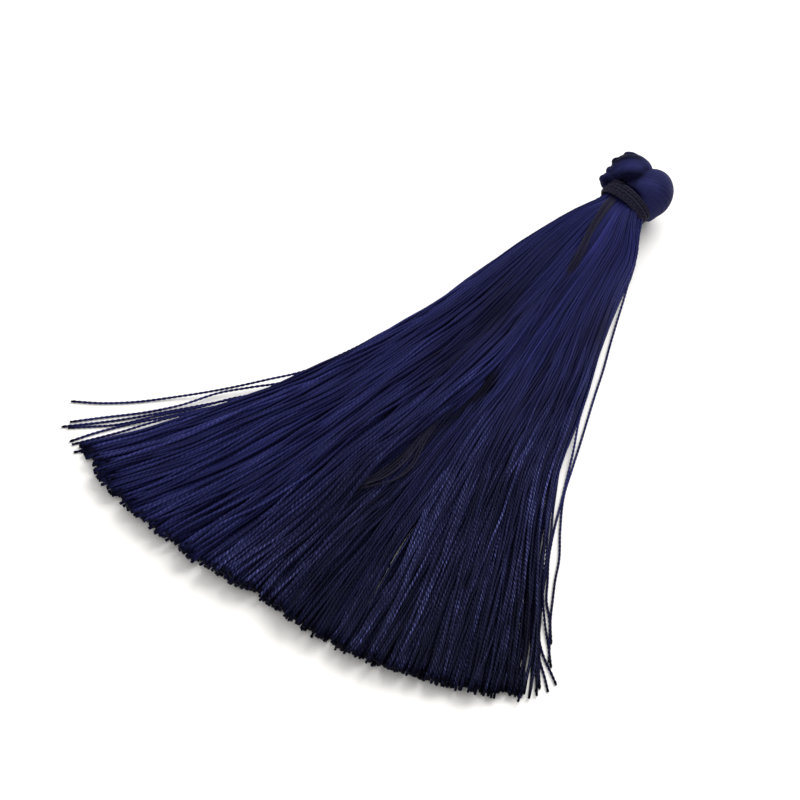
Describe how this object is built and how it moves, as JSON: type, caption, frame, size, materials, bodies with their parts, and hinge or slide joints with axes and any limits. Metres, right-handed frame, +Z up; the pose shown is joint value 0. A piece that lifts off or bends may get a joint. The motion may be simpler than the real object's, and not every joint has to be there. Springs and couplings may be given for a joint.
{
  "type": "tassel",
  "caption": "Fanned-out thread tassel with a two-lobed doubled head, a wound neck binding and cut skirt ends.",
  "frame": {"origin": "on the surface that the tassel lies on, in the middle of the flat spot under its head", "axes": "+Y from the cut ends to the head, along the tassel's length; +Z up from the surface; +X across the skirt"},
  "size_m": [0.0647, 0.0773, 0.0085],
  "materials": {
    "navy_thread": "glossy two-ply viscose thread, dark navy",
    "charcoal_thread": "dull charcoal thread"
  },
  "bodies": {
    "root": {"thread_bundle": "navy_thread", "neck_binding": "charcoal_thread"}
  },
  "joints": []
}
